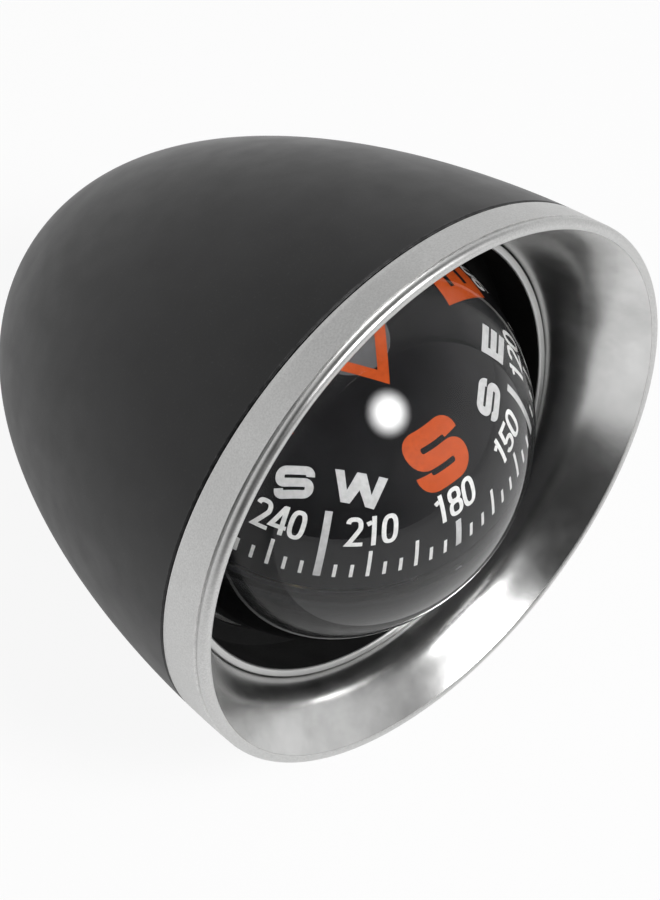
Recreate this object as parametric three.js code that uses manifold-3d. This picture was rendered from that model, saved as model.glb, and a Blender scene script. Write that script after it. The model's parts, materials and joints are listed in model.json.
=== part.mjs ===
// Bullet-shaped binnacle compass: a liquid-filled ball with a domed card, gimballed inside it,
// held in a hooded housing on a low foot. Millimetres, +Z up, mouth towards -Y.
// The origin is the middle of the foot's underside.
import * as THREE from 'three';
import { mergeVertices } from 'three/addons/utils/BufferGeometryUtils.js';
import Module from 'manifold-3d';

const wasm = await Module();
wasm.setup();

// ---- Driving dimensions -------------------------------------------------------------------
const ballRadius = 40;                     // outside of the clear ball
const ballWall = 2;
const gap = 0.3;                           // clearance between neighbouring pieces
const tiltDegrees = 24.3;                  // the housing's axis above the horizon
const mouthRake = Math.tan(THREE.MathUtils.degToRad(8));    // the lip leans forward at its top
const seamRake = Math.tan(THREE.MathUtils.degToRad(11.3));  // the hood's front edge leans more
const mouthRadius = 1.4126 * ballRadius;
const mouthStation = 0.843 * ballRadius;   // along the axis, ahead of the ball's centre
const hoodLength = 2.732 * ballRadius;     // mouth to nose
const hoodWall = 2.4;
const seamStation = 0.549 * ballRadius;    // where the hood ends and the silver band begins
const lipRadius = 0.958 * mouthRadius;     // inside of the rounded lip
const ringStation = 0.357 * ballRadius;    // front edge of the inner ring
const ringOuter = 1.14 * ballRadius;
const ringInner = 1.1 * ballRadius;
const cardRadius = 0.8 * ballRadius;
const cardHeight = 0.68 * ballRadius;
const ballHeight = 66;                     // ball's centre above the surface it stands on
const footSetback = 17;                    // foot's centre behind the ball's centre
const footWidth = 42;
const footLength = 72;
const padThickness = 2;

// Capsule flange stack, as stations along the axis, front pieces first.
const flangeRadius = 48.4;
const domeFlange = [0, 3];
const sealStation = [-1.3, -0.3];
const bowlFlange = [-4.6, -1.6];
const shockStation = [-6, -4.9];
const ribStation = [-10, -6.3];
const flangeScrewCircle = 46.9;
const flangeScrewCount = 6;

// Compensator below the ball, measured from the ball's centre.
const rodHeight = -45.7;
const crossRodSetback = 6;
const rodRadius = 2.4;

const wide = 30;                           // facets round a large turned piece
const medium = 24;
const small = 12;

const degrees = THREE.MathUtils.degToRad;
const innerBall = ballRadius - ballWall;

// ---- Materials ----------------------------------------------------------------------------
function material(color, roughness, metalness) {
  return new THREE.MeshStandardMaterial({ color, roughness, metalness });
}
const paint = () => material(0x2b2b2d, 0.45, 0.2);
const satinMetal = () => material(0xb9bab8, 0.4, 0.9);
const polished = () => material(0xc8c8c6, 0.18, 1);
const blackPlastic = () => material(0x161618, 0.5, 0);
const rubber = () => material(0x1b1b1b, 0.85, 0);
const brass = () => material(0xb08d4a, 0.35, 1);
const steel = () => material(0x9a9c9f, 0.3, 1);

function clear() {
  const finish = material(0xeef4f6, 0.03, 0);
  finish.transparent = true;
  finish.opacity = 0.3;
  return finish;
}

// ---- Solids -------------------------------------------------------------------------------
// A turned piece has triangles of no area where its outline meets the axis; these are dropped.
function wholeTriangles(index) {
  const kept = [];
  for (let i = 0; i < index.length; i += 3) {
    const [a, b, c] = index.slice(i, i + 3);
    if (a !== b && b !== c && c !== a) kept.push(a, b, c);
  }
  return kept;
}

function toSolid(geometry) {
  const plain = geometry.clone();
  plain.deleteAttribute('normal');
  plain.deleteAttribute('uv');
  const merged = mergeVertices(plain, 1e-4);
  const mesh = new wasm.Mesh({
    numProp: 3,
    vertProperties: Float32Array.from(merged.attributes.position.array),
    triVerts: Uint32Array.from(wholeTriangles(merged.index.array)),
  });
  return new wasm.Manifold(mesh);
}

function toGeometry(solid) {
  const mesh = solid.getMesh();
  const geometry = new THREE.BufferGeometry();
  geometry.setAttribute('position', new THREE.BufferAttribute(mesh.vertProperties, 3));
  geometry.setIndex(new THREE.BufferAttribute(mesh.triVerts, 1));
  geometry.computeVertexNormals();
  return geometry;
}

function cut(geometry, ...tools) {
  let solid = toSolid(geometry);
  for (const tool of tools) solid = solid.subtract(toSolid(tool));
  return toGeometry(solid);
}

function join(first, ...others) {
  let solid = toSolid(first);
  for (const other of others) solid = solid.add(toSolid(other));
  return toGeometry(solid);
}

// A turned piece about Z from [radius, station] points. An outline that starts on the axis
// ends on it, and a ring's outline closes on itself.
function turned(outline, facets = wide) {
  const points = outline.map(([radius, station]) => new THREE.Vector2(radius, station));
  const first = points[0];
  const last = points[points.length - 1];
  if (first.x > 0) points.push(first.clone());
  else if (last.x > 0) points.push(new THREE.Vector2(0, last.y));
  if (THREE.ShapeUtils.area(points) < 0) points.reverse();
  return new THREE.LatheGeometry(points, facets).rotateX(Math.PI / 2);
}

function washer(inner, outer, low, high, facets = wide) {
  return turned([[inner, low], [outer, low], [outer, high], [inner, high]], facets);
}

// A round bar along Z between two stations.
function bar(radius, low, high, facets = small) {
  return turned([[0, low], [radius, low], [radius, high], [0, high]], facets);
}

function block(width, depth, height, x = 0, y = 0, z = 0) {
  return new THREE.BoxGeometry(width, depth, height).translate(x, y, z);
}

// Points on a circle arc about the axis, from one polar angle to another (90 is the equator).
function arc(radius, fromDegrees, toDegrees, steps) {
  const points = [];
  for (let i = 0; i <= steps; i += 1) {
    const angle = degrees(fromDegrees + (toDegrees - fromDegrees) * i / steps);
    points.push([radius * Math.max(Math.sin(angle), 0), radius * Math.cos(angle)]);
  }
  return points;
}

const polarAt = (radius, station) => THREE.MathUtils.radToDeg(Math.acos(station / radius));

// ---- Hood outline -------------------------------------------------------------------------
// Radius of the bullet at a station along its axis, shrunk by an inset.
function hoodRadius(station, inset = 0) {
  const nose = 1.936;
  const shoulder = 2.318;
  const along = Math.max((mouthStation - station) / (hoodLength - inset), 0);
  const left = Math.max(1 - along ** nose, 0);
  return (mouthRadius - inset) * left ** (1 / shoulder);
}

// Stations from the nose to a front station, closer together where the nose curves most.
function hoodOutline(inset, front, steps) {
  const nose = mouthStation - hoodLength + inset;
  const points = [];
  for (let i = 0; i <= steps; i += 1) {
    const share = 1 - Math.cos(0.5 * Math.PI * i / steps);
    const station = nose + (front - nose) * share;
    points.push([i === 0 ? 0 : hoodRadius(station, inset), station]);
  }
  return points;
}

// How far forward a station slides per millimetre of height, at the hood, seam and lip.
function shellRake(station) {
  const start = -5;                        // just ahead of the rib
  if (station < seamStation) {
    return seamRake * Math.max((station - start) / (seamStation - start), 0);
  }
  const share = Math.min((station - seamStation) / (mouthStation - seamStation), 1);
  return THREE.MathUtils.lerp(seamRake, mouthRake, share);
}

function reflectorRake(station) {
  const start = ringStation + 0.4;
  return mouthRake * Math.max((station - start) / (mouthStation - start), 0);
}

// Leans the mouth: stations slide forward at the top and back at the foot.
function rake(geometry, slide = shellRake) {
  const position = geometry.attributes.position;
  for (let i = 0; i < position.count; i += 1) {
    const y = position.getY(i);
    const station = position.getZ(i);
    const leaned = station + slide(station) * y;
    const scale = hoodRadius(leaned) / hoodRadius(station);
    position.setXYZ(i, position.getX(i) * scale, y * scale, leaned);
  }
  return geometry;
}

// ---- Groups -------------------------------------------------------------------------------
const compass = new THREE.Group();
const ball = new THREE.Group();            // level, at the ball's centre
ball.position.set(0, -footSetback, ballHeight);
const housing = new THREE.Group();         // +Z runs out of the mouth, +Y to the housing's top
housing.rotation.x = degrees(90 - tiltDegrees);
compass.add(ball);
ball.add(housing);

function place(parent, name, geometry, finish, at = [0, 0, 0]) {
  const mesh = new THREE.Mesh(geometry, finish);
  mesh.name = name;
  mesh.position.set(...at);
  parent.add(mesh);
  return mesh;
}

// The same tool solid, moved from the level frame into the housing's frame.
function levelTool(geometry) {
  return geometry.rotateX(-degrees(90 - tiltDegrees));
}

// ---- Foot ---------------------------------------------------------------------------------
const footScrewOffsets = [-22, 22];
const footTop = ballHeight - 47;

// An oval plate that narrows towards its top by a share of its size.
function ovalPlate(width, length, bottom, top, narrowing) {
  const shape = new THREE.Shape();
  shape.absellipse(0, 0, width / 2, length / 2, 0, Math.PI * 2);
  const depth = top - bottom;
  const plate = new THREE.ExtrudeGeometry(shape, { depth, bevelEnabled: false, curveSegments: 20 });
  const position = plate.attributes.position;
  for (let i = 0; i < position.count; i += 1) {
    const scale = 1 - narrowing * position.getZ(i) / depth;
    position.setXY(i, position.getX(i) * scale, position.getY(i) * scale);
  }
  return plate.translate(0, 0, bottom);
}

function addFoot() {
  const base = ovalPlate(footWidth, footLength, padThickness + gap, footTop, 0.22);
  const saddle = turned(hoodOutline(-gap, mouthStation, 11));
  saddle.rotateX(degrees(90 - tiltDegrees)).translate(0, -footSetback, ballHeight);
  const holes = footScrewOffsets.flatMap((offset) => [
    bar(2.3, 0, footTop + 5).translate(0, offset, 0),
    bar(4.4, 0, 6.5).translate(0, offset, 0),
  ]);
  place(compass, 'foot', cut(base, saddle, ...holes), paint());
  place(compass, 'foot_pad', ovalPlate(footWidth - 1, footLength - 1, 0, padThickness, 0), rubber());
  footScrewOffsets.forEach((offset, i) => addFootScrew(offset, i + 1));
}

// A cap screw up through the foot, with its nut inside the hood.
function addFootScrew(offset, number) {
  const nutBase = ballHeight - 50;
  const tip = nutBase + 4;
  const screw = turned([[0, 3.2], [3.9, 3.2], [3.9, 6.1], [2, 6.1], [2, tip], [0, tip]], small);
  const nut = cut(bar(3.4, nutBase, nutBase + 3, 6), bar(2.3, 0, ballHeight));
  place(compass, `foot_screw_${number}`, screw, steel(), [0, offset, 0]);
  place(compass, `foot_nut_${number}`, nut, steel(), [0, offset, 0]);
}

// ---- Hood ---------------------------------------------------------------------------------
const cableRadius = 0.8;
const cableExit = -8;                      // below the axis, at the nose
const rebateStation = seamStation - 4.5;   // where the trim ring's spigot seats
const rebateRadius = 55.1;
const blockScrews = [[-8, 18], [8, 18]];
const blockFloor = -49.4;                  // underside of the compensator block

// Holes and tools round the flange screw circle; none falls at the very top.
function flangeCircle(make) {
  return Array.from({ length: flangeScrewCount }, (_, i) => {
    const angle = 2 * Math.PI * i / flangeScrewCount;
    return make(flangeScrewCircle * Math.cos(angle), flangeScrewCircle * Math.sin(angle));
  });
}

const screwHoles = () => flangeCircle((x, y) => bar(1.1, -20, 20).translate(x, y, 0));

function hoodOpenings() {
  const screws = footScrewOffsets.map((offset) => bar(2.4, -75, -40)
    .translate(0, offset + footSetback, 0));
  const sides = [-1, 1].map((side) => bar(3, 14, 60).rotateY(side * Math.PI / 2)
    .translate(0, crossRodSetback, rodHeight));
  const rear = bar(3, 30, 90).rotateX(-Math.PI / 2).translate(0, 0, rodHeight);
  const threads = blockScrews.map(([x, y]) => bar(1.1, -52.6, -40).translate(x, y, 0));
  return [...screws, ...sides, rear, ...threads].map(levelTool);
}

function hoodShell() {
  const front = seamStation;
  const outside = hoodOutline(0, front, 11);
  const inside = hoodOutline(hoodWall, rebateStation, 11).reverse();
  const [ribBack, ribFront] = ribStation;
  const rib = [
    [hoodRadius(ribFront, hoodWall), ribFront], [44, ribFront],
    [44, ribBack], [hoodRadius(ribBack, hoodWall), ribBack],
  ];
  const ahead = inside.filter(([, station]) => station > ribFront + 0.5);
  const behind = inside.filter(([, station]) => station < ribBack - 0.5);
  const rebate = [[rebateRadius, front], [rebateRadius, rebateStation]];
  return turned([...outside, ...rebate, ...ahead, ...rib, ...behind]);
}

function addHood() {
  const bosses = blockScrews.map(([x, y]) => levelTool(bar(2.6, -53.6, blockFloor - gap)
    .translate(x, y, 0)));
  const cableHole = bar(2.6, -90, -60).translate(0, cableExit, 0);
  const cableNotch = block(5, 6.8, 4.9, 0, 46.5, -8.2);
  const shell = join(rake(hoodShell()), ...bosses);
  const openings = [cableHole, cableNotch, ...screwHoles(), ...hoodOpenings()];
  place(housing, 'hood', cut(shell, ...openings), paint());
}

// ---- Mouth: trim ring, seal, reflector and inner ring -------------------------------------
function addTrim() {
  const rear = seamStation + 0.8;
  const front = mouthStation;
  const spigot = rebateStation + gap;
  const groove = mouthRadius - 0.6;
  const section = [
    [rebateRadius - gap, rear], [hoodRadius(rear), rear], [hoodRadius(front - 2.7), front - 2.7],
    [groove, front - 2.4], [groove, front - 1.9], [mouthRadius, front - 1.6],
    [mouthRadius - 0.4, front - 0.5], [mouthRadius - 1.2, front], [lipRadius + 0.4, front - 0.4],
    [lipRadius + 0.4, front - 1.2], [lipRadius, front - 2.2], [lipRadius, spigot],
    [rebateRadius - gap, spigot],
  ];
  place(housing, 'trim_ring', rake(turned(section)), satinMetal());
  const seal = washer(rebateRadius, hoodRadius(rear) - 0.5, rear - 0.65, rear - 0.15);
  place(housing, 'trim_seal', rake(seal), rubber());
}

// A trumpet: steep beside the inner ring, flaring out as it meets the lip.
function addReflector() {
  const back = ringStation - 0.6;
  const lip = mouthStation - 0.9;
  const sheet = 0.8;
  const bowl = [];
  const steps = 6;
  for (let i = 0; i <= steps; i += 1) {
    const share = i / steps;
    const flare = 0.3 * share + 0.7 * share ** 2.3;
    const radius = THREE.MathUtils.lerp(ringOuter + 0.5, lipRadius - 0.6, flare);
    bowl.push([radius, THREE.MathUtils.lerp(ringStation + 0.4, lip, share)]);
  }
  const widest = lipRadius - 0.2;
  const outer = bowl.map(([radius, station]) => [Math.min(radius + sheet, widest), station]).reverse();
  const edge = [[ringOuter + 0.5 + sheet, back], [ringOuter + 0.5, back]];
  const window = block(5, 8, 5, 0, 49, 17.5);
  const shell = rake(turned([...bowl, ...outer, ...edge]), reflectorRake);
  place(housing, 'reflector', cut(shell, window), polished());
}

// Clamps the capsule's flange: a shelf reaches in to the ball, a tube rises to a narrow flat edge.
function addInnerRing() {
  const base = domeFlange[1] + gap;
  const tube = ringInner + 1.2;
  const shelf = ballRadius + 0.6;
  const section = [
    [ringInner, base + 1.2], [shelf, base + 1.2], [shelf, base], [flangeRadius, base],
    [flangeRadius, base + 2], [tube, base + 2],
    [tube, ringStation - 3.6], [ringOuter, ringStation - 2.8], [ringOuter, ringStation - 0.4],
    [ringOuter - 0.3, ringStation], [ringInner + 0.4, ringStation], [ringInner, ringStation - 0.5],
  ];
  place(housing, 'inner_ring', cut(turned(section), ...screwHoles()), satinMetal());
}

// ---- Capsule ------------------------------------------------------------------------------
const landStation = -40.3;
const landInner = 14;
const landOuter = 22.5;
const coverScrewCircle = 18.5;
const coverScrewCount = 3;

function coverCircle(make) {
  return Array.from({ length: coverScrewCount }, (_, i) => {
    const angle = 2 * Math.PI * (i + 0.5) / coverScrewCount;
    return make(coverScrewCircle * Math.cos(angle), coverScrewCircle * Math.sin(angle));
  });
}

const coverHoles = () => coverCircle((x, y) => bar(1.1, -50, -38.2, 8).translate(x, y, 0));

function addDome() {
  const [back, front] = domeFlange;
  const section = [
    ...arc(ballRadius, 0, polarAt(ballRadius, front), 8),
    [flangeRadius, front], [flangeRadius, back],
    ...arc(innerBall, 90, 0, 8),
  ];
  place(housing, 'clear_dome', cut(turned(section), ...screwHoles()), clear());
}

// The lower bowl carries two lugs for the gimbal's pins and a filler hole high on its back.
function addBowl() {
  const [back, front] = bowlFlange;
  const section = [
    ...arc(innerBall, polarAt(innerBall, front), 180 - 21.6, 6),
    [landInner, landStation], [landOuter, landStation],
    ...arc(ballRadius, 180 - 34.3, polarAt(ballRadius, back), 5),
    [flangeRadius, back], [flangeRadius, front],
  ];
  const lugs = [-1, 1].flatMap((side) => [
    block(2.8, 5, 6.2, side * 37.6, 0, -4.9),
    block(1.1, 5, 8.2, side * 36.75, 0, -1.9),
  ]);
  const sockets = bar(1.1, -37.4, 37.4).rotateY(Math.PI / 2);
  const filler = fillerPlace(bar(2.5, 30, 45));
  const bowl = join(turned(section), ...lugs);
  place(housing, 'bowl', cut(bowl, sockets, filler, ...screwHoles(), ...coverHoles()), blackPlastic());
}

// Turns a radial piece to the filler's place, high on the back of the bowl.
function fillerPlace(geometry) {
  return geometry.rotateX(-degrees(120));
}

function addFiller() {
  const plug = turned([[0, 37.9], [2.2, 37.9], [2.2, 41.5], [4, 41.5], [4, 43.4], [0, 43.4]], small);
  const slot = block(9, 0.8, 0.8, 0, 0, 43.4);
  place(housing, 'filler_plug', fillerPlace(cut(plug, slot)), brass());
  place(housing, 'filler_washer', fillerPlace(washer(2.5, 4, 40.4, 41.2, small)), rubber());
}

function addFlangePieces() {
  place(housing, 'capsule_seal', washer(40.4, 44.6, ...sealStation), rubber());
  const shock = washer(44.3, flangeRadius, ...shockStation);
  place(housing, 'shock_ring', cut(shock, ...screwHoles()), rubber());
  const seat = domeFlange[1] + gap + 2 + gap;
  flangeCircle((x, y) => [x, y]).forEach(([x, y], i) => {
    const head = [[0, seat + 1.5], [1.4, seat + 1.5], [1.4, seat], [0.8, seat], [0.8, -9.5], [0, -9.5]];
    place(housing, `flange_screw_${i + 1}`, turned(head, 8), steel(), [x, y, 0]);
  });
}

// A corrugated rubber disc lets the liquid expand; its cover is vented.
function addDiaphragm() {
  const face = landStation - gap;
  const disc = turned([
    [0, face - 1.2], [6, face - 1.2], [8, face + 1.2], [10, face - 1.2], [landOuter, face - 1.2],
    [landOuter, face], [11, face], [8, face + 2.6], [5, face], [0, face],
  ], medium);
  place(housing, 'diaphragm', cut(disc, ...coverHoles()), rubber());
  const plate = face - 1.2 - gap;
  const cover = bar(landOuter, plate - 2, plate, medium);
  const vent = bar(2, plate - 5, plate + 5);
  place(housing, 'diaphragm_cover', cut(cover, vent, ...coverHoles()), blackPlastic());
  const under = plate - 2 - gap;
  coverCircle((x, y) => [x, y]).forEach(([x, y], i) => {
    const head = under - 1.4;
    const screw = [[0, -38.6], [0.8, -38.6], [0.8, under], [1.8, under], [1.8, head], [0, head]];
    place(housing, `cover_screw_${i + 1}`, turned(screw, 8), steel(), [x, y, 0]);
  });
}

// ---- Gimbal ring and cradle ---------------------------------------------------------------
const gimbalInner = 34.3;
const gimbalOuter = 35.9;
const cradleRadius = 33.2;
const pinRadius = 0.8;
const pinHole = 1.1;

function addGimbalRing() {
  const ring = washer(gimbalInner, gimbalOuter, -1.6, 1.6);
  const holes = [
    bar(pinHole, -40, 40, 8).rotateY(Math.PI / 2),
    bar(pinHole, -40, 40, 8).rotateX(Math.PI / 2),
  ];
  place(ball, 'gimbal_ring', cut(ring, ...holes), blackPlastic());
  for (const [name, side] of [['left', -1], ['right', 1]]) {
    const pin = bar(pinRadius, gimbalInner + 0.3, 37.1, 8).rotateY(side * Math.PI / 2);
    place(ball, `gimbal_pin_${name}`, pin, steel());
  }
  const post = bar(0.6, 1.9, 13, 8);
  place(ball, 'lubber_pin', post, material(0xe8e6e0, 0.5, 0), [0, 35.1, 0]);
}

function addCradle() {
  const rim = 1.8;
  const wall = 1.4;
  const inner = cradleRadius - wall;
  const section = [
    ...arc(cradleRadius, polarAt(cradleRadius, rim), 175, 7),
    ...arc(inner, 174.8, polarAt(inner, rim), 7),
  ];
  const pins = bar(pinHole, -40, 40, 8).rotateX(Math.PI / 2);
  place(ball, 'cradle', cut(turned(section), pins), blackPlastic());
  for (const [name, side] of [['front', 1], ['rear', -1]]) {
    const pin = bar(pinRadius, inner + 0.4, gimbalOuter - 0.2, 8).rotateX(side * Math.PI / 2);
    place(ball, `cradle_pin_${name}`, pin, steel());
  }
  const post = turned([
    [0, -34.9], [5, -34.9], [5, -33.6], [2.5, -33.6], [2.5, -6], [pinHole, -6], [pinHole, -10], [0, -10],
  ], small);
  place(ball, 'pivot_post', post, brass());
  place(ball, 'pivot_pin', turned([[0, -9.7], [0.8, -9.7], [0.8, -1.5], [0, 0.6]], small), steel());
  place(ball, 'post_nut', washer(2.8, 5, -30.8, -28.9, small), brass());
  place(ball, 'counterweight', washer(3, 13, -28.6, -23.6, medium), steel());
}

// ---- Card ---------------------------------------------------------------------------------
// The card's outline is a cubic superellipse: nearly flat on top, nearly upright at its ticks.
function cardOutline(radius, height, from, to, steps) {
  const points = [];
  for (let i = 0; i <= steps; i += 1) {
    const angle = degrees(from + (to - from) * i / steps);
    const across = Math.max(Math.sin(angle), 0) ** (2 / 3);
    const up = Math.max(Math.cos(angle), 0) ** (2 / 3);
    points.push([radius * across, height * up]);
  }
  return points;
}

// A skin under that outline, from one distance off the axis to another or down to its hem.
function cardSkin(from, to = null) {
  const skin = 1.2;
  const hem = 2.6;                         // lower edge above the pivot
  const { radToDeg } = THREE.MathUtils;
  const atRadius = (radius, distance) => radToDeg(Math.asin((distance / radius) ** 1.5));
  const atHem = (height) => radToDeg(Math.acos((hem / height) ** 1.5));
  const line = (inset, steps) => {
    const radius = cardRadius - inset;
    const height = cardHeight - inset;
    const end = to === null ? atHem(height) : atRadius(radius, to);
    return cardOutline(radius, height, atRadius(radius, from), end, steps);
  };
  const steps = to === null ? 9 : 3;
  return [...line(0, steps), ...line(skin, steps).reverse()];
}

// The card is a ring of skin; its hub cap closes the middle, flush with the top.
function addCard() {
  const hubRadius = 0.17 * ballRadius;
  place(ball, 'card', turned(cardSkin(hubRadius + gap)), material(0x141416, 0.55, 0));
  place(ball, 'hub_cap', turned(cardSkin(0, hubRadius)), material(0x6a6b6d, 0.5, 0.1));
  place(ball, 'card_float', washer(3.5, 15, -2, cardHeight - 3, medium), material(0xd9d2bd, 0.8, 0));
  const cup = [[0, 2.4], [1.5, 2.4], [1.5, -4], [3.2, -4], [3.2, 4], [0, 4]];
  place(ball, 'jewel_cup', turned(cup, small), brass());
  place(ball, 'jewel', bar(1.2, 0.9, 2.1), material(0x8a1f35, 0.1, 0));
  for (const [name, side] of [['left', -1], ['right', 1]]) {
    place(ball, `card_magnet_${name}`, block(3, 24, 3), steel(), [side * 9, 0, -3.9]);
  }
}

// ---- Compensator --------------------------------------------------------------------------
// A rod along Z with a cross hole for its magnet, grooves for clips and slotted ends.
function rodBody(low, high, magnetAt, grooves, slots) {
  const waist = 1.9;
  const outline = [[0, low], [rodRadius, low]];
  for (const groove of grooves) {
    outline.push([rodRadius, groove - 0.6], [waist, groove - 0.6]);
    outline.push([waist, groove + 0.6], [rodRadius, groove + 0.6]);
  }
  outline.push([rodRadius, high], [0, high]);
  const hole = bar(1.2, -5, 5).rotateX(Math.PI / 2).translate(0, 0, magnetAt);
  return cut(turned(outline, 16), hole, ...slots.map((end) => block(0.9, 6, 1.6, 0, 0, end)));
}

function addCompensator() {
  const low = blockFloor;
  const high = -42;
  const front = 1.5;
  const back = 25.5;
  const body = block(22, back - front, high - low, 0, (front + back) / 2, (low + high) / 2);
  const crossBore = bar(2.75, -20, 20, 16).rotateY(Math.PI / 2).translate(0, crossRodSetback, rodHeight);
  const longBore = bar(2.75, 11, 30, 16).rotateX(-Math.PI / 2).translate(0, 0, rodHeight);
  const holes = blockScrews.map(([x, y]) => bar(1.1, -60, -30).translate(x, y, 0));
  place(ball, 'compensator_block', cut(body, crossBore, longBore, ...holes), blackPlastic());
  blockScrews.forEach(([x, y], i) => {
    const seat = high + gap;
    const screw = [[0, -52.3], [0.8, -52.3], [0.8, seat], [1.8, seat], [1.8, seat + 1.3], [0, seat + 1.3]];
    place(ball, `block_screw_${i + 1}`, turned(screw, 8), steel(), [x, y, 0]);
  });
  addCrossRod();
  addLongRod(back);
}

function addCrossRod() {
  const half = 15;
  const clipAt = 12;
  const at = [0, crossRodSetback, rodHeight];
  const rod = rodBody(-half, half, 0, [-clipAt, clipAt], [-half, half]).rotateY(Math.PI / 2);
  place(ball, 'cross_rod', rod, brass(), at);
  place(ball, 'cross_magnet', bar(0.85, -2, 2, 8).rotateX(Math.PI / 2), steel(), at);
  for (const [name, side] of [['left', -1], ['right', 1]]) {
    const clip = washer(2.2, 3.6, clipAt - 0.3, clipAt + 0.3, small).rotateY(side * Math.PI / 2);
    place(ball, `cross_clip_${name}`, clip, steel(), at);
  }
}

function addLongRod(blockBack) {
  const low = 11.5;
  const high = 31;
  const magnetAt = 19;
  const clipAt = blockBack + 1;
  const turn = (geometry) => geometry.rotateX(-Math.PI / 2);
  const at = [0, 0, rodHeight];
  place(ball, 'long_rod', turn(rodBody(low, high, magnetAt, [clipAt], [high])), brass(), at);
  const magnet = bar(0.85, -2, 2, 8).rotateX(Math.PI / 2).translate(0, 0, magnetAt);
  place(ball, 'long_magnet', turn(magnet), steel(), at);
  place(ball, 'long_clip', turn(washer(2.2, 3.6, clipAt - 0.3, clipAt + 0.3, small)), steel(), at);
}

// ---- Lamp and cable -----------------------------------------------------------------------
function addLamp() {
  const height = 50.2;
  const seat = 13;
  place(housing, 'lamp_holder', block(10, 3.4, 6, 0, height, seat - 3), blackPlastic());
  const lens = [[0, seat + gap], [1.5, seat + gap], [1.5, seat + 2.8], [1, seat + 4], [0, seat + 4.4]];
  place(housing, 'lamp', turned(lens, small), material(0xc23a2a, 0.2, 0), [0, height, 0]);
}

function addCable() {
  const route = [
    [50, 6.7], [49.8, 0], [49.45, -4.5], [48.5, -9], [44.6, -20], [37, -38], [24, -54], [4, -64],
    [cableExit, -68.5], [cableExit, -72], [cableExit, -79], [cableExit - 3, -90],
  ];
  const path = new THREE.CatmullRomCurve3(route.map(([up, station]) => new THREE.Vector3(0, up, station)));
  const round = new THREE.Shape().absarc(0, 0, cableRadius, 0, Math.PI * 2);
  const cable = new THREE.ExtrudeGeometry(round, { steps: 26, curveSegments: 3, extrudePath: path });
  place(housing, 'lamp_cable', cable, rubber());
  const grommet = turned([
    [1.15, -77.6], [4.2, -77.6], [4.2, -75.9], [2.3, -75.9], [2.3, -70.5], [1.15, -70.5],
  ], small);
  place(housing, 'cable_grommet', grommet, rubber(), [0, cableExit, 0]);
}

addFoot();
addHood();
addTrim();
addReflector();
addInnerRing();
addDome();
addBowl();
addFiller();
addFlangePieces();
addDiaphragm();
addGimbalRing();
addCradle();
addCard();
addCompensator();
addLamp();
addCable();

export default compass;
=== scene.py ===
"""Looks for the binnacle compass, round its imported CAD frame. Metres, +Z up, mouth towards -Y."""

import json
import math

import bmesh
import bpy
import numpy as np
from mathutils import Matrix, Vector


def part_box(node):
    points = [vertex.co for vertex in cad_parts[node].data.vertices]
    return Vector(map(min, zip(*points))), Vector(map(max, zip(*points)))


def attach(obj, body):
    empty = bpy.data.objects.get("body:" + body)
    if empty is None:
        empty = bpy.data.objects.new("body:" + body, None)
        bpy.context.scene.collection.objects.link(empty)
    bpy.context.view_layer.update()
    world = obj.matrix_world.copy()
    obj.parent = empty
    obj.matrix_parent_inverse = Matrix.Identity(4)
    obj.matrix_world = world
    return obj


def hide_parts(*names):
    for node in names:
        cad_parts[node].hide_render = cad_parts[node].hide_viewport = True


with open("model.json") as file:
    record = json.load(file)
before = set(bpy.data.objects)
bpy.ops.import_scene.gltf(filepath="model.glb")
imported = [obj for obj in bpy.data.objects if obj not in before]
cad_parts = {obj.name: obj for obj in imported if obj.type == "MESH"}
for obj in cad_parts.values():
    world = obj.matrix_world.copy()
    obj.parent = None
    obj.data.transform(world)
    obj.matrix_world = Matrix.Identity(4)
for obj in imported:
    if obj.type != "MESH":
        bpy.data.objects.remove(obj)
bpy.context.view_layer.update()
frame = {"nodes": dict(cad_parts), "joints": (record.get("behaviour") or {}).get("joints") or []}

# ---- Driving sizes, from the frame ----
joints = {joint["name"]: joint for joint in frame["joints"]}
CENTRE = Vector(joints["card_spin"]["pos_m"])  # middle of the ball
MM = 0.001


def half_width(node):
    low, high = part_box(node)
    return (high.x - low.x) / 2


CARD_RADIUS = half_width("card")
BALL = CARD_RADIUS / 0.8  # outside radius of the ball
MOUTH = 1.4126 * BALL  # outside radius of the rounded lip
LIP = 0.958 * MOUTH  # inside radius of the rounded lip
CARD_HEIGHT = 0.68 * BALL
HOOD_LENGTH = 2.732 * BALL
# Stations run along the hood's axis from the middle of the ball, forward.
MOUTH_STATION = 0.843 * BALL
SEAM_STATION = 0.549 * BALL  # where the hood meets the silver band
RING_STATION = 0.357 * BALL  # front edge of the bright inner ring
RAKE_START = -5 * MM  # behind this the hood isn't raked
RING_OUTER = 1.14 * BALL
RING_INNER = 1.1 * BALL
FLANGE = half_width("bowl")
TILT = math.radians(24.3)  # hood's axis above the horizon
MOUTH_RAKE = math.tan(math.radians(8))  # the lip leans forward at its top
SEAM_RAKE = math.tan(math.radians(11.3))  # the hood's front edge leans more
ON_AXIS = 1e-9  # a radius below this lies on the axis

AXIS = Vector((0, -math.cos(TILT), math.sin(TILT)))
TOP = Vector((0, math.sin(TILT), math.cos(TILT)))
RIGHT = Vector((1, 0, 0))
HOUSING = Matrix.Translation(CENTRE) @ Matrix((RIGHT, TOP, AXIS)).transposed().to_4x4()
LEVEL = Matrix.Translation(CENTRE)


# ---- Outlines ----
def hood_radius(station, inset=0.0):
    """Radius of the bullet at a station, shrunk by an inset: a quarter of a superellipse."""
    along = np.clip((MOUTH_STATION - station) / (HOOD_LENGTH - inset), 0, 1)
    return (MOUTH - inset) * (1 - along ** 1.936) ** (1 / 2.318)


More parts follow.
